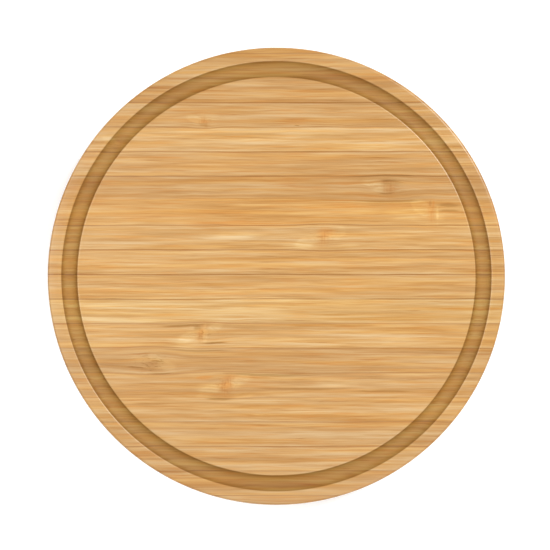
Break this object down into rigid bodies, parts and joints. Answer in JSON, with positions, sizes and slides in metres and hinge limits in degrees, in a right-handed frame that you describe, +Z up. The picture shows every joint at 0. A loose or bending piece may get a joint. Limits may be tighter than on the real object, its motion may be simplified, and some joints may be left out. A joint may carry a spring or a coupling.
{
  "type": "lazy susan turntable",
  "caption": "Round bamboo turntable with a juice groove near its rim, turning on a ring ball bearing between the platter and a smaller round base on rubber feet.",
  "frame": {"origin": "on the turning axis at the table, under the middle of the base", "axes": "+Z up along the turning axis; +X along the bamboo's grain"},
  "size_m": [0.35, 0.35, 0.0439],
  "materials": {
    "bamboo": "satin, lightly oiled pressed bamboo strips",
    "ring_aluminium": "turned, satin",
    "bearing_steel": "polished",
    "zinc_plated_steel": "bright zinc plate",
    "nylon": "natural moulded nylon",
    "rubber": "matt moulded rubber"
  },
  "bodies": {
    "base": {"base_disc": "bamboo", "bearing_outer_ring": "ring_aluminium", "ball_filler_screw": "zinc_plated_steel", "base_screw_1": "zinc_plated_steel", "base_screw_2": "zinc_plated_steel", "base_screw_3": "zinc_plated_steel", "base_screw_4": "zinc_plated_steel", "rubber_foot_1": "rubber", "rubber_foot_2": "rubber", "rubber_foot_3": "rubber", "rubber_foot_4": "rubber", "foot_washer_1": "zinc_plated_steel", "foot_washer_2": "zinc_plated_steel", "foot_washer_3": "zinc_plated_steel", "foot_washer_4": "zinc_plated_steel", "foot_screw_1": "zinc_plated_steel", "foot_screw_2": "zinc_plated_steel", "foot_screw_3": "zinc_plated_steel", "foot_screw_4": "zinc_plated_steel"},
    "platter": {"platter": "bamboo", "bearing_inner_ring": "ring_aluminium", "platter_screw_1": "zinc_plated_steel", "platter_screw_2": "zinc_plated_steel", "platter_screw_3": "zinc_plated_steel", "platter_screw_4": "zinc_plated_steel"},
    "cage": {"ball_cage": "nylon"},
    "bearing_ball_01": {"bearing_ball_01": "bearing_steel"},
    "bearing_ball_02": {"bearing_ball_02": "bearing_steel"},
    "bearing_ball_03": {"bearing_ball_03": "bearing_steel"},
    "bearing_ball_04": {"bearing_ball_04": "bearing_steel"},
    "bearing_ball_05": {"bearing_ball_05": "bearing_steel"},
    "bearing_ball_06": {"bearing_ball_06": "bearing_steel"},
    "bearing_ball_07": {"bearing_ball_07": "bearing_steel"},
    "bearing_ball_08": {"bearing_ball_08": "bearing_steel"},
    "bearing_ball_09": {"bearing_ball_09": "bearing_steel"},
    "bearing_ball_10": {"bearing_ball_10": "bearing_steel"},
    "bearing_ball_11": {"bearing_ball_11": "bearing_steel"},
    "bearing_ball_12": {"bearing_ball_12": "bearing_steel"},
    "bearing_ball_13": {"bearing_ball_13": "bearing_steel"},
    "bearing_ball_14": {"bearing_ball_14": "bearing_steel"},
    "bearing_ball_15": {"bearing_ball_15": "bearing_steel"},
    "bearing_ball_16": {"bearing_ball_16": "bearing_steel"},
    "bearing_ball_17": {"bearing_ball_17": "bearing_steel"},
    "bearing_ball_18": {"bearing_ball_18": "bearing_steel"},
    "bearing_ball_19": {"bearing_ball_19": "bearing_steel"},
    "bearing_ball_20": {"bearing_ball_20": "bearing_steel"},
    "bearing_ball_21": {"bearing_ball_21": "bearing_steel"},
    "bearing_ball_22": {"bearing_ball_22": "bearing_steel"},
    "bearing_ball_23": {"bearing_ball_23": "bearing_steel"},
    "bearing_ball_24": {"bearing_ball_24": "bearing_steel"}
  },
  "joints": [
    {"name": "platter_spin", "type": "hinge", "parent": "base", "child": "platter", "pos_m": [0, 0, 0.0236], "axis": [0, 0, 1], "continuous": true},
    {"name": "cage_spin", "type": "hinge", "parent": "base", "child": "cage", "pos_m": [0, 0, 0.0236], "axis": [0, 0, 1], "continuous": true},
    {"name": "ball_roll_01", "type": "hinge", "parent": "cage", "child": "bearing_ball_01", "pos_m": [0.08626, 0.01136, 0.0236], "axis": [0, 0, 1], "continuous": true},
    {"name": "ball_roll_02", "type": "hinge", "parent": "cage", "child": "bearing_ball_02", "pos_m": [0.08038, 0.03329, 0.0236], "axis": [0, 0, 1], "continuous": true},
    {"name": "ball_roll_03", "type": "hinge", "parent": "cage", "child": "bearing_ball_03", "pos_m": [0.06902, 0.05296, 0.0236], "axis": [0, 0, 1], "continuous": true},
    {"name": "ball_roll_04", "type": "hinge", "parent": "cage", "child": "bearing_ball_04", "pos_m": [0.05296, 0.06902, 0.0236], "axis": [0, 0, 1], "continuous": true},
    {"name": "ball_roll_05", "type": "hinge", "parent": "cage", "child": "bearing_ball_05", "pos_m": [0.03329, 0.08038, 0.0236], "axis": [0, 0, 1], "continuous": true},
    {"name": "ball_roll_06", "type": "hinge", "parent": "cage", "child": "bearing_ball_06", "pos_m": [0.01136, 0.08626, 0.0236], "axis": [0, 0, 1], "continuous": true},
    {"name": "ball_roll_07", "type": "hinge", "parent": "cage", "child": "bearing_ball_07", "pos_m": [-0.01136, 0.08626, 0.0236], "axis": [0, 0, 1], "continuous": true},
    {"name": "ball_roll_08", "type": "hinge", "parent": "cage", "child": "bearing_ball_08", "pos_m": [-0.03329, 0.08038, 0.0236], "axis": [0, 0, 1], "continuous": true},
    {"name": "ball_roll_09", "type": "hinge", "parent": "cage", "child": "bearing_ball_09", "pos_m": [-0.05296, 0.06902, 0.0236], "axis": [0, 0, 1], "continuous": true},
    {"name": "ball_roll_10", "type": "hinge", "parent": "cage", "child": "bearing_ball_10", "pos_m": [-0.06902, 0.05296, 0.0236], "axis": [0, 0, 1], "continuous": true},
    {"name": "ball_roll_11", "type": "hinge", "parent": "cage", "child": "bearing_ball_11", "pos_m": [-0.08038, 0.03329, 0.0236], "axis": [0, 0, 1], "continuous": true},
    {"name": "ball_roll_12", "type": "hinge", "parent": "cage", "child": "bearing_ball_12", "pos_m": [-0.08626, 0.01136, 0.0236], "axis": [0, 0, 1], "continuous": true},
    {"name": "ball_roll_13", "type": "hinge", "parent": "cage", "child": "bearing_ball_13", "pos_m": [-0.08626, -0.01136, 0.0236], "axis": [0, 0, 1], "continuous": true},
    {"name": "ball_roll_14", "type": "hinge", "parent": "cage", "child": "bearing_ball_14", "pos_m": [-0.08038, -0.03329, 0.0236], "axis": [0, 0, 1], "continuous": true},
    {"name": "ball_roll_15", "type": "hinge", "parent": "cage", "child": "bearing_ball_15", "pos_m": [-0.06902, -0.05296, 0.0236], "axis": [0, 0, 1], "continuous": true},
    {"name": "ball_roll_16", "type": "hinge", "parent": "cage", "child": "bearing_ball_16", "pos_m": [-0.05296, -0.06902, 0.0236], "axis": [0, 0, 1], "continuous": true},
    {"name": "ball_roll_17", "type": "hinge", "parent": "cage", "child": "bearing_ball_17", "pos_m": [-0.03329, -0.08038, 0.0236], "axis": [0, 0, 1], "continuous": true},
    {"name": "ball_roll_18", "type": "hinge", "parent": "cage", "child": "bearing_ball_18", "pos_m": [-0.01136, -0.08626, 0.0236], "axis": [0, 0, 1], "continuous": true},
    {"name": "ball_roll_19", "type": "hinge", "parent": "cage", "child": "bearing_ball_19", "pos_m": [0.01136, -0.08626, 0.0236], "axis": [0, 0, 1], "continuous": true},
    {"name": "ball_roll_20", "type": "hinge", "parent": "cage", "child": "bearing_ball_20", "pos_m": [0.03329, -0.08038, 0.0236], "axis": [0, 0, 1], "continuous": true},
    {"name": "ball_roll_21", "type": "hinge", "parent": "cage", "child": "bearing_ball_21", "pos_m": [0.05296, -0.06902, 0.0236], "axis": [0, 0, 1], "continuous": true},
    {"name": "ball_roll_22", "type": "hinge", "parent": "cage", "child": "bearing_ball_22", "pos_m": [0.06902, -0.05296, 0.0236], "axis": [0, 0, 1], "continuous": true},
    {"name": "ball_roll_23", "type": "hinge", "parent": "cage", "child": "bearing_ball_23", "pos_m": [0.08038, -0.03329, 0.0236], "axis": [0, 0, 1], "continuous": true},
    {"name": "ball_roll_24", "type": "hinge", "parent": "cage", "child": "bearing_ball_24", "pos_m": [0.08626, -0.01136, 0.0236], "axis": [0, 0, 1], "continuous": true}
  ],
  "couplings": [
    {"joint": "cage_spin", "follows": "platter_spin", "ratio": 0.49033},
    {"joint": "ball_roll_01", "follows": "platter_spin", "ratio": -25.838},
    {"joint": "ball_roll_02", "follows": "platter_spin", "ratio": -25.838},
    {"joint": "ball_roll_03", "follows": "platter_spin", "ratio": -25.838},
    {"joint": "ball_roll_04", "follows": "platter_spin", "ratio": -25.838},
    {"joint": "ball_roll_05", "follows": "platter_spin", "ratio": -25.838},
    {"joint": "ball_roll_06", "follows": "platter_spin", "ratio": -25.838},
    {"joint": "ball_roll_07", "follows": "platter_spin", "ratio": -25.838},
    {"joint": "ball_roll_08", "follows": "platter_spin", "ratio": -25.838},
    {"joint": "ball_roll_09", "follows": "platter_spin", "ratio": -25.838},
    {"joint": "ball_roll_10", "follows": "platter_spin", "ratio": -25.838},
    {"joint": "ball_roll_11", "follows": "platter_spin", "ratio": -25.838},
    {"joint": "ball_roll_12", "follows": "platter_spin", "ratio": -25.838},
    {"joint": "ball_roll_13", "follows": "platter_spin", "ratio": -25.838},
    {"joint": "ball_roll_14", "follows": "platter_spin", "ratio": -25.838},
    {"joint": "ball_roll_15", "follows": "platter_spin", "ratio": -25.838},
    {"joint": "ball_roll_16", "follows": "platter_spin", "ratio": -25.838},
    {"joint": "ball_roll_17", "follows": "platter_spin", "ratio": -25.838},
    {"joint": "ball_roll_18", "follows": "platter_spin", "ratio": -25.838},
    {"joint": "ball_roll_19", "follows": "platter_spin", "ratio": -25.838},
    {"joint": "ball_roll_20", "follows": "platter_spin", "ratio": -25.838},
    {"joint": "ball_roll_21", "follows": "platter_spin", "ratio": -25.838},
    {"joint": "ball_roll_22", "follows": "platter_spin", "ratio": -25.838},
    {"joint": "ball_roll_23", "follows": "platter_spin", "ratio": -25.838},
    {"joint": "ball_roll_24", "follows": "platter_spin", "ratio": -25.838}
  ]
}
